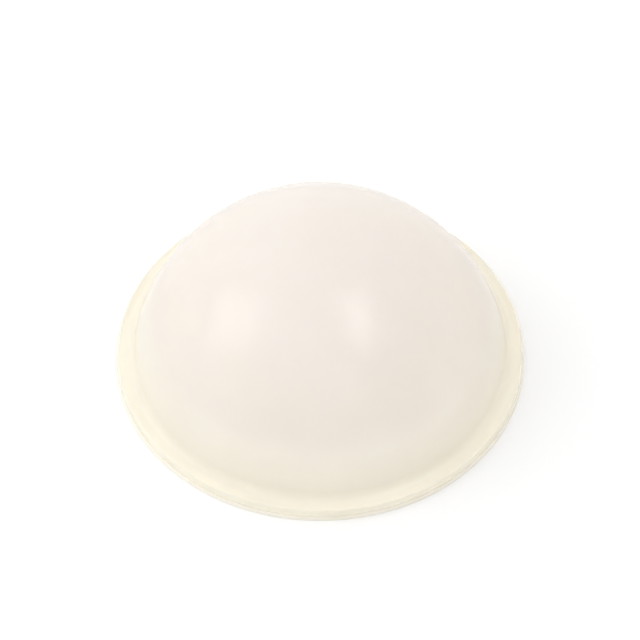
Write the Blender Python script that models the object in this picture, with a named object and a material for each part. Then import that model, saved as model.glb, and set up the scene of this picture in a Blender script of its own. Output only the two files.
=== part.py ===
"""Self-adhesive domed bumper foot at its real size.

Metres, +Z up. The origin is the middle of the adhesive's underside, the face
that is stuck to a door, a drawer front or the bottom of a case. The dome is
one casting with a thin skirt; a die cuts skirt and adhesive film in one stroke.
"""

import math

import bmesh
import bpy

# Driving dimensions of the casting
OVERALL_HEIGHT = 0.0051
DOME_DIAMETER = 0.0111
SKIRT_THICKNESS = 0.00025
SKIRT_LAND = 0.00020
FOOT_FILLET = 0.00030

# Driving dimensions of the adhesive film and of the die cut
ADHESIVE_THICKNESS = 0.00015
CUT_LEAN = math.radians(10.0)
CUT_EDGE_ROUND = 0.00006

# Facets of the turned shapes
TURN_STEPS = 96
DOME_STEPS = 20
FILLET_STEPS = 5
EDGE_ROUND_STEPS = 3
SHARP_ANGLE = math.radians(35.0)
MERGE_SHARE = 0.01

# The spun copies of an axis point are one; no two real points lie as near as this
MERGE_DISTANCE = CUT_EDGE_ROUND * MERGE_SHARE

# Heights, counted up from the face that is stuck down
ADHESIVE_TOP = ADHESIVE_THICKNESS
SKIRT_TOP = ADHESIVE_TOP + SKIRT_THICKNESS

# The dome is a cap of one sphere: its base is DOME_DIAMETER across, on the skirt
DOME_RISE = OVERALL_HEIGHT - SKIRT_TOP
DOME_BASE_RADIUS = DOME_DIAMETER / 2
SPHERE_RADIUS = (DOME_BASE_RADIUS**2 + DOME_RISE**2) / (2 * DOME_RISE)
SPHERE_CENTRE_Z = OVERALL_HEIGHT - SPHERE_RADIUS

# The foot fillet's circle touches the sphere from outside and the skirt from above
FILLET_CENTRE_Z = SKIRT_TOP + FOOT_FILLET
FILLET_CENTRE_RADIUS = math.sqrt(
    (SPHERE_RADIUS + FOOT_FILLET) ** 2 - (FILLET_CENTRE_Z - SPHERE_CENTRE_Z) ** 2
)
FLANK_ANGLE = math.atan2(FILLET_CENTRE_RADIUS, FILLET_CENTRE_Z - SPHERE_CENTRE_Z)

# The die enters at the skirt's top face, at this radius, and widens downwards
CUT_RADIUS = FILLET_CENTRE_RADIUS + SKIRT_LAND


def clear_scene():
    """Remove whatever objects the open scene holds."""
    for old_object in list(bpy.data.objects):
        bpy.data.objects.remove(old_object, do_unlink=True)


def arc(centre_radius, centre_z, radius, start, end, steps):
    """Points of an arc in the radial plane, with angles measured from +Z outwards."""
    points = []
    for step in range(steps + 1):
        angle = start + (end - start) * step / steps
        points.append((
            centre_radius + radius * math.sin(angle),
            centre_z + radius * math.cos(angle),
        ))
    return points


def cut_radius_at(height):
    """Radius of the die's leaning cut at a height below the skirt's top face."""
    return CUT_RADIUS + (SKIRT_TOP - height) * math.tan(CUT_LEAN)


def cap_profile():
    """The sphere's arc from the crown down to where the foot fillet takes over."""
    return arc(0.0, SPHERE_CENTRE_Z, SPHERE_RADIUS, 0.0, FLANK_ANGLE, DOME_STEPS)


def foot_profile():
    """The hollow arc that runs the flank out onto the skirt, without its first point."""
    return arc(
        FILLET_CENTRE_RADIUS, FILLET_CENTRE_Z, FOOT_FILLET,
        FLANK_ANGLE - math.pi, -math.pi, FILLET_STEPS,
    )[1:]


def cut_edge_profile():
    """The skirt's upper edge, which the die presses round before it cuts."""
    wall_normal = math.pi / 2 - CUT_LEAN
    land_lost = CUT_EDGE_ROUND * math.tan(wall_normal / 2)
    return arc(
        CUT_RADIUS - land_lost, SKIRT_TOP - CUT_EDGE_ROUND, CUT_EDGE_ROUND,
        0.0, wall_normal, EDGE_ROUND_STEPS,
    )


def turned_solid(name, profile, material):
    """Spin a half section, listed from the upper axis point to the lower, into a closed solid."""
    work = bmesh.new()
    points = [work.verts.new((radius, 0.0, height)) for radius, height in profile]
    edges = [work.edges.new(pair) for pair in zip(points, points[1:])]
    bmesh.ops.spin(
        work, geom=points + edges, cent=(0.0, 0.0, 0.0), axis=(0.0, 0.0, 1.0),
        angle=2 * math.pi, steps=TURN_STEPS, use_merge=True,
    )
    bmesh.ops.remove_doubles(work, verts=work.verts, dist=MERGE_DISTANCE)
    bmesh.ops.recalc_face_normals(work, faces=work.faces)
    mesh = bpy.data.meshes.new(name)
    work.to_mesh(mesh)
    work.free()
    mesh.materials.append(material)
    mesh.shade_smooth()
    mesh.set_sharp_from_angle(angle=SHARP_ANGLE)
    solid = bpy.data.objects.new(name, mesh)
    bpy.context.scene.collection.objects.link(solid)
    return solid


def principled(name, colour, roughness):
    """A new non-metallic material and its Principled shader."""
    material = bpy.data.materials.new(name)
    material.use_nodes = True
    shader = material.node_tree.nodes["Principled BSDF"]
    shader.inputs["Base Color"].default_value = (*colour, 1.0)
    shader.inputs["Roughness"].default_value = roughness
    shader.inputs["Metallic"].default_value = 0.0
    material.diffuse_color = (*colour, 1.0)
    return material, shader


def polyurethane():
    """Cast polyurethane: glossy, creamy and half clear."""
    material, shader = principled("polyurethane", (0.90, 0.84, 0.76), 0.12)
    shader.inputs["IOR"].default_value = 1.5
    shader.inputs["Transmission Weight"].default_value = 0.5
    return material


def adhesive():
    """Pressure-sensitive adhesive film: paler, duller and slightly yellow."""
    material, shader = principled("adhesive", (0.88, 0.83, 0.70), 0.45)
    shader.inputs["IOR"].default_value = 1.47
    return material


def build_dome():
    """The casting: dome, foot fillet, skirt and the cut edge round it."""
    profile = cap_profile() + foot_profile() + cut_edge_profile()
    profile.append((cut_radius_at(ADHESIVE_TOP), ADHESIVE_TOP))
    profile.append((0.0, ADHESIVE_TOP))
    return turned_solid("bumper_dome", profile, polyurethane())


def build_adhesive():
    """The film, laid face to face on the casting's underside and cut with it."""
    profile = [
        (0.0, ADHESIVE_TOP),
        (cut_radius_at(ADHESIVE_TOP), ADHESIVE_TOP),
        (cut_radius_at(0.0), 0.0),
        (0.0, 0.0),
    ]
    return turned_solid("adhesive_disc", profile, adhesive())


clear_scene()
build_dome()
build_adhesive()
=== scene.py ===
"""Looks for the adhesive bumper foot: a cast, creamy, half-clear dome on its adhesive film.

Metres, +Z up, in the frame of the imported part. The camera stands on the -Y side.
"""

import math

import bmesh
import bpy
from mathutils import Matrix, Vector, noise


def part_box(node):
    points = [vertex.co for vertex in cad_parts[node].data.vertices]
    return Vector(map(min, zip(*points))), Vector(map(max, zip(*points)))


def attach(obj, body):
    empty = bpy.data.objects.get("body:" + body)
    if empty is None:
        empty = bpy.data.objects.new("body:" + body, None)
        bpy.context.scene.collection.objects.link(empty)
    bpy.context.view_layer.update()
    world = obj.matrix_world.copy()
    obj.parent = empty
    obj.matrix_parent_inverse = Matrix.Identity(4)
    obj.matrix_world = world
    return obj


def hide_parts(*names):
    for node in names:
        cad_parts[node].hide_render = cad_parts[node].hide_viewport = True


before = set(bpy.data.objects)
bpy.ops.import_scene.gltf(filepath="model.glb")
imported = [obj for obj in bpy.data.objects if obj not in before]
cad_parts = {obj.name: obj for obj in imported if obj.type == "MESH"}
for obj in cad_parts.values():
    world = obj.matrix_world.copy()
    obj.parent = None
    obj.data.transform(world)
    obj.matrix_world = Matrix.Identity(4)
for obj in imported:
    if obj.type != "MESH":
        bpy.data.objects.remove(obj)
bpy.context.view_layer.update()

MM = 0.001

# The casting's and the film's outer sizes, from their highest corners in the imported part
DOME_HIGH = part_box("bumper_dome")[1]
FILM_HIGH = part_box("adhesive_disc")[1]
FOOT_HEIGHT = DOME_HIGH.z
SKIRT_BASE_RADIUS = DOME_HIGH.x
FILM_THICKNESS = FILM_HIGH.z
FILM_RADIUS = FILM_HIGH.x

# The casting's own section, as it is in the part's source
DOME_DIAMETER = 11.1 * MM
SKIRT_THICKNESS = 0.25 * MM
FOOT_FILLET = 0.30 * MM
CUT_EDGE_ROUND = 0.06 * MM

# Derived section: the foot fillet's circle touches the sphere and the skirt
CUT_LEAN = math.atan2(FILM_RADIUS - SKIRT_BASE_RADIUS, FILM_THICKNESS)
SKIRT_TOP = FILM_THICKNESS + SKIRT_THICKNESS
DOME_RISE = FOOT_HEIGHT - SKIRT_TOP
SPHERE_RADIUS = ((DOME_DIAMETER / 2) ** 2 + DOME_RISE**2) / (2 * DOME_RISE)
SPHERE_CENTRE_Z = FOOT_HEIGHT - SPHERE_RADIUS
FILLET_CENTRE_Z = SKIRT_TOP + FOOT_FILLET
FILLET_CENTRE_RADIUS = math.sqrt(
    (SPHERE_RADIUS + FOOT_FILLET) ** 2 - (FILLET_CENTRE_Z - SPHERE_CENTRE_Z) ** 2
)
FLANK_ANGLE = math.atan2(FILLET_CENTRE_RADIUS, FILLET_CENTRE_Z - SPHERE_CENTRE_Z)
CUT_RADIUS = FILM_RADIUS - SKIRT_TOP * math.tan(CUT_LEAN)

# Fineness of the turned meshes
TURN_STEPS = 288
DOME_STEPS = 64
FILLET_STEPS = 10
LAND_STEPS = 4
EDGE_STEPS = 6
WALL_STEPS = 4
FLAT_STEPS = 6
SHARP_ANGLE = math.radians(40)

# Small irregularities, all of them inwards, so that nothing leaves the part's box
BOND_DEPTH = 0.003 * MM
LAYER_EDGE_ROUND = 0.025 * MM
CAST_WAVE = 0.004 * MM
CAST_WAVELENGTH = 1.6 * MM
CUT_WANDER = 0.018 * MM
CUT_WANDER_TURNS = 1.3
CUT_SCORE = 0.006 * MM
CUT_SCORE_TURNS = 26.0

# Surface noise: its scales are in waves a metre, and its values lie mostly between these two
NOISE_LOW = 0.3
NOISE_HIGH = 0.7
BUMP_HEIGHT = 0.02 * MM

# A colour that changes nothing, and a factor that takes the height out of a place
WHITE = (1.0, 1.0, 1.0)
LEVEL = (1.0, 1.0, 0.0)

# The casting's look: tones are (share of the foot's height, colour). The yellow towards the foot
# is the casting's own; the paler foot is painted light, and the darker stop at half the height is
# painted shade
CASTING_TONES_AND_PAINTED_LIGHT = [
    (0.00, (0.990, 0.980, 0.900)),
    (0.20, (0.986, 0.964, 0.892)),
    (0.50, (0.882, 0.838, 0.812)),
    (1.00, (0.892, 0.857, 0.847)),
]
HAZE_COLOUR = (0.985, 0.980, 0.970)
HAZE_SCALE = 450.0
HAZE_DETAIL = 3.0
PEEL_SCALE = 1400.0
PEEL_DETAIL = 2.0
PEEL_STRENGTH = 0.05
CASTING_ROUGHNESS = (0.17, 0.23)
CASTING_IOR = 1.5
CASTING_CLEARNESS = 0.45

# Light scatters in the casting this far, alike in each colour, and in full from this height
SCATTER_REACH = 0.7 * MM
SCATTER_SHARES = (1.0, 1.0, 1.0)
SCATTER_FULL_HEIGHT = 2.8 * MM

# The film's look: its mottled colours, and the painted shade that darkens its cut edge
FILM_DEEP = (0.965, 0.935, 0.840)
FILM_PALE = (0.985, 0.960, 0.885)
FILM_CLOUD_SCALE = 900.0
FILM_CLOUD_DETAIL = 4.0
MOTTLE_SCALE = 3500.0
MOTTLE_DETAIL = 3.0
MOTTLE_STRENGTH = 0.25
FILM_ROUGHNESS = (0.32, 0.50)
FILM_IOR = 1.47
EDGE_SHADE_COLOUR = (0.89, 0.87, 0.84)
EDGE_SHADE_REACH = 0.10 * MM
EDGE_SHADE_START_RADIUS = SKIRT_BASE_RADIUS - EDGE_SHADE_REACH
EDGE_SHADE_FULL_RADIUS = SKIRT_BASE_RADIUS - CUT_WANDER - CUT_SCORE

# Camera: the photograph looks down on the foot at this angle
CAMERA_ELEVATION = math.radians(51.1)
CAMERA_DISTANCE = 0.42
CAMERA_LENS = 800.0
CAMERA_CLIP = (0.01, 10.0)
AIM_HEIGHT = 1.9 * MM

# Tent: its level, where 1 is white, is high round the axis and low elsewhere, and fades where
# a direction's cosine to the axis is TENT_EDGE, by TENT_FADE to either side
TENT_AXIS = (-0.31, 0.18, 0.92)
TENT_EDGE = 0.44
TENT_FADE = 0.10
TENT_HIGH = 1.12
TENT_LOW = 0.38

# The table's far parts glow from the horizon up to this Z of a unit direction
TABLE_GLOW = 2.20
TABLE_GLOW_TOP = 0.24

# What the camera, reflections and clear parts see in the tent's place: white
BACKDROP = 1.0

# Soft boxes: directions from the foot, distances and sizes in metres
LAMPS = {
    "left_box": dict(
        direction=(-0.769, 0.057, 0.636), distance=0.7, length=0.42, width=0.38, radiance=1.35,
    ),
    "right_box": dict(
        direction=(0.376, -0.070, 0.924), distance=0.7, length=0.40, width=0.22, radiance=2.0,
    ),
}

# How often light may turn on its way through the casting and out again
LIGHT_BOUNCES = 24

# The studio table
FLOOR_SIDE = 2.4
FLOOR_COLOUR = (0.91, 0.91, 0.91)
FLOOR_ROUGHNESS = 0.8


def arc(centre_radius, centre_z, radius, start, end, steps):
    """Points of an arc in the radial plane, with angles measured from +Z outwards."""
    points = []
    for step in range(steps + 1):
        angle = start + (end - start) * step / steps
        points.append((
            centre_radius + radius * math.sin(angle),
            centre_z + radius * math.cos(angle),
        ))
    return points


def straight(start, end, steps):
    """Points of a straight stretch without its first one."""
    return [
        tuple(a + (b - a) * step / steps for a, b in zip(start, end))
        for step in range(1, steps + 1)
    ]


def rounded_corner(before, corner, after, radius, steps):
    """Points of a small arc that takes the place of a sharp corner."""
    into = (Vector(before) - Vector(corner)).normalized()
    out = (Vector(after) - Vector(corner)).normalized()
    half = into.angle(out) / 2
    centre = Vector(corner) + (into + out).normalized() * radius / math.sin(half)
    start = Vector(corner) + into * radius / math.tan(half) - centre
    end = Vector(corner) + out * radius / math.tan(half) - centre
    turn = start.angle_signed(end)
    points = []
    for step in range(steps + 1):
        spoke = start.copy()
        spoke.rotate(Matrix.Rotation(-turn * step / steps, 2))
        points.append(tuple(centre + spoke))
    return points


def casting_section():
    """The casting's half section, from the crown down and in to the axis again."""
    cap = arc(0.0, SPHERE_CENTRE_Z, SPHERE_RADIUS, 0.0, FLANK_ANGLE, DOME_STEPS)
    foot = arc(
        FILLET_CENTRE_RADIUS, FILLET_CENTRE_Z, FOOT_FILLET,
        FLANK_ANGLE - math.pi, -math.pi, FILLET_STEPS,
    )[1:]
    wall_normal = math.pi / 2 - CUT_LEAN
    land_lost = CUT_EDGE_ROUND * math.tan(wall_normal / 2)
    edge = arc(
        CUT_RADIUS - land_lost, SKIRT_TOP - CUT_EDGE_ROUND, CUT_EDGE_ROUND,
        0.0, wall_normal, EDGE_STEPS,
    )
    land = straight(foot[-1], edge[0], LAND_STEPS)[:-1]
    axis_point = (0.0, FILM_THICKNESS)
    low_edge = rounded_corner(
        edge[-1], (SKIRT_BASE_RADIUS, FILM_THICKNESS), axis_point, LAYER_EDGE_ROUND, EDGE_STEPS,
    )
    wall = straight(edge[-1], low_edge[0], WALL_STEPS)[:-1]
    flat = straight(low_edge[-1], axis_point, FLAT_STEPS)
    return cap + foot + land + edge + wall + low_edge + flat


def film_section():
    """The film's half section; its top wets the casting, so that no air lies between the two."""
    film_top = FILM_THICKNESS + BOND_DEPTH
    top_point = (0.0, film_top)
    top_corner = (SKIRT_BASE_RADIUS, film_top)
    base_corner = (FILM_RADIUS, 0.0)
    base_point = (0.0, 0.0)
    top_edge = rounded_corner(top_point, top_corner, base_corner, LAYER_EDGE_ROUND, EDGE_STEPS)
    base_edge = rounded_corner(top_corner, base_corner, base_point, LAYER_EDGE_ROUND, EDGE_STEPS)
    flat_top = straight(top_point, top_edge[0], FLAT_STEPS)[:-1]
    wall = straight(top_edge[-1], base_edge[0], WALL_STEPS)[:-1]
    flat_base = straight(base_edge[-1], base_point, FLAT_STEPS)
    return [top_point] + flat_top + top_edge + wall + base_edge + flat_base


def inward(size, value):
    """An irregularity that never goes outwards: noise from -1 to 1 becomes -size to 0."""
    return size * (value - 1) / 2


def cut_offset(angle, height):
    """How far the die's cut strays from its ideal line: a slow wander and fine score lines."""
    around = Vector((math.cos(angle), math.sin(angle), 0.0))
    wander = noise.noise(around * CUT_WANDER_TURNS)
    score = noise.noise(around * CUT_SCORE_TURNS + Vector((0.0, 0.0, height / MM)))
    return inward(CUT_WANDER, wander) + inward(CUT_SCORE, score)


def cast_offset(point):
    """How far the casting's skin strays from the ideal sphere: a faint, slow waviness."""
    return inward(CAST_WAVE, noise.noise(point / CAST_WAVELENGTH))


def place(radius, height, angle, cast):
    """A section point turned to an angle, with the small irregularities put in.

    The cut's own fade in over the skirt. What is cast is wavy above the skirt.
    """
    cut_share = max(0.0, (radius - FILLET_CENTRE_RADIUS) / (CUT_RADIUS - FILLET_CENTRE_RADIUS))
    radius += cut_offset(angle, height) * min(1.0, cut_share)
    point = Vector((radius * math.cos(angle), radius * math.sin(angle), height))
    if cast and height > SKIRT_TOP:
        centre = Vector((0.0, 0.0, SPHERE_CENTRE_Z))
        point += (point - centre).normalized() * cast_offset(point)
    return point


def turn_section(work, section, cast):
    """Turn a half section into rings of points, with faces between them and in to the axis."""
    rings = []
    for radius, height in section[1:-1]:
        rings.append([
            work.verts.new(place(radius, height, 2 * math.pi * step / TURN_STEPS, cast))
            for step in range(TURN_STEPS)
        ])
    top = work.verts.new(place(*section[0], 0.0, cast))
    bottom = work.verts.new(place(*section[-1], 0.0, cast))
    for step in range(TURN_STEPS):
        after = (step + 1) % TURN_STEPS
        work.faces.new((top, rings[0][step], rings[0][after]))
        for upper, lower in zip(rings, rings[1:]):
            work.faces.new((upper[step], lower[step], lower[after], upper[after]))
        work.faces.new((rings[-1][step], bottom, rings[-1][after]))


def turned(name, section, material, cast=False):
    """A closed solid turned from a half section whose first and last points are on the axis."""
    work = bmesh.new()
    turn_section(work, section, cast)
    bmesh.ops.recalc_face_normals(work, faces=work.faces)
    mesh = bpy.data.meshes.new(name)
    work.to_mesh(mesh)
    work.free()
    mesh.shade_smooth()
    mesh.set_sharp_from_angle(angle=SHARP_ANGLE)
    mesh.materials.append(material)
    piece = bpy.data.objects.new(name, mesh)
    bpy.context.scene.collection.objects.link(piece)
    return piece


def new_material(name):
    """A new material with its default nodes."""
    material = bpy.data.materials.new(name)
    material.use_nodes = True
    return material


class Graph:
    """A node tree, with short calls for making and joining nodes."""

    def __init__(self, owner, shader="Principled BSDF"):
        self.tree = owner.node_tree
        self.shader = self.tree.nodes[shader]

    def node(self, kind, settings=None, **inputs):
        """A node of that kind, with its settings, and its inputs set or linked by name."""
        made = self.tree.nodes.new(kind)
        for key, value in (settings or {}).items():
            setattr(made, key, value)
        for key, value in inputs.items():
            self.feed(made.inputs[key.replace("_", " ")], value)
        return made

    def feed(self, socket, value):
        """Set a socket to a value, or link it to another socket."""
        if isinstance(value, bpy.types.NodeSocket):
            self.tree.links.new(value, socket)
        else:
            socket.default_value = value

    def surface(self, **inputs):
        """Set or link the shader's own sockets."""
        for key, value in inputs.items():
            self.feed(self.shader.inputs[key.replace("_", " ")], value)

    def clouds(self, spot, scale, detail):
        """Soft noise over the surface."""
        made = self.node("ShaderNodeTexNoise", Vector=spot, Scale=scale, Detail=detail)
        return made.outputs["Fac"]

    def span(self, value, start, end, low=0.0, high=1.0, easing="LINEAR"):
        """A value's way from start to end, mapped to low to high and held at both ends."""
        made = self.node(
            "ShaderNodeMapRange", {"interpolation_type": easing}, Value=value,
            From_Min=start, From_Max=end, To_Min=low, To_Max=high,
        )
        return made.outputs["Result"]

    def blend(self, share, first, second):
        """A level that goes from the first to the second as the share goes from 0 to 1."""
        return self.node("ShaderNodeMix", Factor=share, A=first, B=second).outputs["Result"]

    def vector_math(self, operation, *vectors):
        """A node that does some operation on vectors."""
        made = self.node("ShaderNodeVectorMath", {"operation": operation})
        for socket, vector in zip(made.inputs, vectors):
            self.feed(socket, vector)
        return made

    def sum(self, first, *others):
        """Some sockets added up, and no more than 1."""
        total = first
        for other in others:
            add = self.node("ShaderNodeMath", {"operation": "ADD", "use_clamp": True})
            self.feed(add.inputs[0], total)
            self.feed(add.inputs[1], other)
            total = add.outputs["Value"]
        return total

    def product(self, first, second):
        """Two colours multiplied."""
        mix = self.node("ShaderNodeMix", {"data_type": "RGBA", "blend_type": "MULTIPLY"})
        sockets = [socket for socket in mix.inputs if socket.enabled]
        for socket, value in zip(sockets, (1.0, first, second)):
            self.feed(socket, value)
        return next(socket for socket in mix.outputs if socket.enabled)

    def ramp(self, value, stops):
        """An eased colour ramp over a value; stops are (position, colour)."""
        made = self.node("ShaderNodeValToRGB", Fac=value)
        ramp = made.color_ramp
        ramp.interpolation = "EASE"
        while len(ramp.elements) < len(stops):
            ramp.elements.new(1.0)
        for element, (position, colour) in zip(ramp.elements, stops):
            element.position = position
            element.color = (*colour, 1.0)
        return made.outputs["Color"]

    def bump(self, height, strength):
        """The normal of a surface that a height from 0 to 1 makes uneven."""
        made = self.node("ShaderNodeBump", Height=height, Strength=strength, Distance=BUMP_HEIGHT)
        return made.outputs["Normal"]


def polyurethane():
    """Cast polyurethane: glossy and half clear, more yellow towards the foot, with painted light
    that makes the foot paler and painted shade that darkens the dome at half its height.

    Light scatters deep inside the dome, and at the surface of its thin skirt.
    """
    material = new_material("polyurethane")
    graph = Graph(material)
    spot = graph.node("ShaderNodeTexCoord").outputs["Object"]
    height = graph.node("ShaderNodeSeparateXYZ", Vector=spot).outputs["Z"]
    # Painted light and shade: this height ramp makes the foot paler and the middle of the flank
    # darker
    tone_and_painted_light = graph.ramp(graph.span(height, 0.0, FOOT_HEIGHT), CASTING_TONES_AND_PAINTED_LIGHT)
    cloud = graph.clouds(spot, HAZE_SCALE, HAZE_DETAIL)
    haze = graph.ramp(cloud, [(NOISE_LOW, HAZE_COLOUR), (NOISE_HIGH, WHITE)])
    colour = graph.product(tone_and_painted_light, haze)
    depth = graph.span(height, SKIRT_TOP, SCATTER_FULL_HEIGHT, easing="SMOOTHSTEP")
    gloss = graph.span(cloud, NOISE_LOW, NOISE_HIGH, *CASTING_ROUGHNESS)
    peel = graph.clouds(spot, PEEL_SCALE, PEEL_DETAIL)
    bump = graph.bump(peel, PEEL_STRENGTH)
    graph.surface(
        Base_Color=colour, Roughness=gloss, Normal=bump, IOR=CASTING_IOR,
        Subsurface_Weight=depth, Subsurface_Scale=SCATTER_REACH,
        Subsurface_Radius=SCATTER_SHARES, Transmission_Weight=CASTING_CLEARNESS,
    )
    return material


def adhesive():
    """Pressure-sensitive adhesive film: slightly yellow, mottled and duller than the casting.

    Its cut edge is painted darker than the rest, as painted shade.
    """
    material = new_material("adhesive")
    graph = Graph(material)
    spot = graph.node("ShaderNodeTexCoord").outputs["Object"]
    cloud = graph.clouds(spot, FILM_CLOUD_SCALE, FILM_CLOUD_DETAIL)
    film = graph.ramp(cloud, [(NOISE_LOW, FILM_DEEP), (NOISE_HIGH, FILM_PALE)])
    level_spot = graph.vector_math("MULTIPLY", spot, LEVEL).outputs["Vector"]
    radius = graph.vector_math("LENGTH", level_spot).outputs["Value"]
    # Painted shade: the film's colour is darkened towards its cut edge
    edge_share = graph.span(radius, EDGE_SHADE_START_RADIUS, EDGE_SHADE_FULL_RADIUS)
    edge_shade = graph.ramp(edge_share, [(0.0, WHITE), (1.0, EDGE_SHADE_COLOUR)])
    colour = graph.product(film, edge_shade)
    gloss = graph.span(cloud, NOISE_LOW, NOISE_HIGH, *FILM_ROUGHNESS)
    mottle = graph.clouds(spot, MOTTLE_SCALE, MOTTLE_DETAIL)
    bump = graph.bump(mottle, MOTTLE_STRENGTH)
    graph.surface(Base_Color=colour, Roughness=gloss, Normal=bump, IOR=FILM_IOR)
    return material


def make_floor():
    """The pale studio table: it looks white, and it keeps the foot's soft shadow."""
    material = new_material("floor")
    Graph(material).surface(Base_Color=(*FLOOR_COLOUR, 1.0), Roughness=FLOOR_ROUGHNESS)
    bpy.ops.mesh.primitive_plane_add(size=FLOOR_SIDE)
    floor = bpy.context.object
    floor.name = "floor"
    floor.data.materials.append(material)


def panel(name, direction, distance, length, width, radiance):
    """A rectangular lamp that looks at the foot, its long side upright as the camera sees it."""
    back = Vector(direction).normalized()
    along = Vector((0.0, math.sin(CAMERA_ELEVATION), math.cos(CAMERA_ELEVATION)))
    along = (along - back * back.dot(along)).normalized()
    data = bpy.data.lights.new(name, "AREA")
    data.shape = "RECTANGLE"
    data.size = length
    data.size_y = width
    data.energy = radiance * math.pi * length * width
    lamp = bpy.data.objects.new(name, data)
    turn = Matrix((along, back.cross(along), back)).transposed()
    lamp.matrix_world = Matrix.Translation(back * distance) @ turn.to_4x4()
    bpy.context.scene.collection.objects.link(lamp)


def make_tent():
    """The studio tent that lights the foot, and the white backdrop that is seen in its place.

    The tent is bright round its axis and dim low on the right and in front, with the glow of
    the table's far parts just above the horizon. The camera, reflections and clear parts see
    the backdrop, evenly white.
    """
    world = bpy.data.worlds.new("tent")
    bpy.context.scene.world = world
    world.use_nodes = True
    graph = Graph(world, "Background")
    direction = graph.node("ShaderNodeTexCoord").outputs["Generated"]
    axis = Vector(TENT_AXIS).normalized()
    towards = graph.vector_math("DOT_PRODUCT", direction, axis).outputs["Value"]
    tent = graph.span(
        towards, TENT_EDGE - TENT_FADE, TENT_EDGE + TENT_FADE, TENT_LOW, TENT_HIGH, "SMOOTHSTEP",
    )
    rise = graph.node("ShaderNodeSeparateXYZ", Vector=direction).outputs["Z"]
    glow_share = graph.span(rise, 0.0, TABLE_GLOW_TOP, 1.0, 0.0, "SMOOTHSTEP")
    light = graph.blend(glow_share, tent, TABLE_GLOW)
    path = graph.node("ShaderNodeLightPath").outputs
    seen = graph.sum(
        path["Is Camera Ray"], path["Is Glossy Ray"], path["Is Transmission Ray"],
    )
    graph.surface(Color=(*WHITE, 1.0), Strength=graph.blend(seen, light, BACKDROP))


def make_light():
    """The tent, and two soft boxes that stand upright as the camera sees them."""
    make_tent()
    for name, lamp in LAMPS.items():
        panel(name, **lamp)


def follow_light_through():
    """Let light paths go through the casting to the film and out again without blur or loss."""
    cycles = bpy.context.scene.cycles
    cycles.blur_glossy = 0.0
    cycles.max_bounces = LIGHT_BOUNCES
    cycles.diffuse_bounces = LIGHT_BOUNCES
    cycles.glossy_bounces = LIGHT_BOUNCES
    cycles.transmission_bounces = LIGHT_BOUNCES


def make_camera():
    """A long lens that looks down at the photograph's angle."""
    data = bpy.data.cameras.new("camera")
    data.lens = CAMERA_LENS
    data.clip_start, data.clip_end = CAMERA_CLIP
    camera = bpy.data.objects.new("camera", data)
    back = Vector((0.0, -math.cos(CAMERA_ELEVATION), math.sin(CAMERA_ELEVATION)))
    camera.location = Vector((0.0, 0.0, AIM_HEIGHT)) + back * CAMERA_DISTANCE
    camera.rotation_euler = (-back).to_track_quat("-Z", "Y").to_euler()
    bpy.context.scene.collection.objects.link(camera)
    bpy.context.scene.camera = camera


def make_foot():
    """The two pieces, each in the place of its CAD node."""
    dome = turned("dome_body", casting_section(), polyurethane(), cast=True)
    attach(dome, "root")
    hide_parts("bumper_dome")
    film = turned("adhesive_film", film_section(), adhesive())
    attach(film, "root")
    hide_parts("adhesive_disc")


make_camera()
make_foot()
make_floor()
make_light()
bpy.context.scene.view_settings.view_transform = "Standard"
follow_light_through()
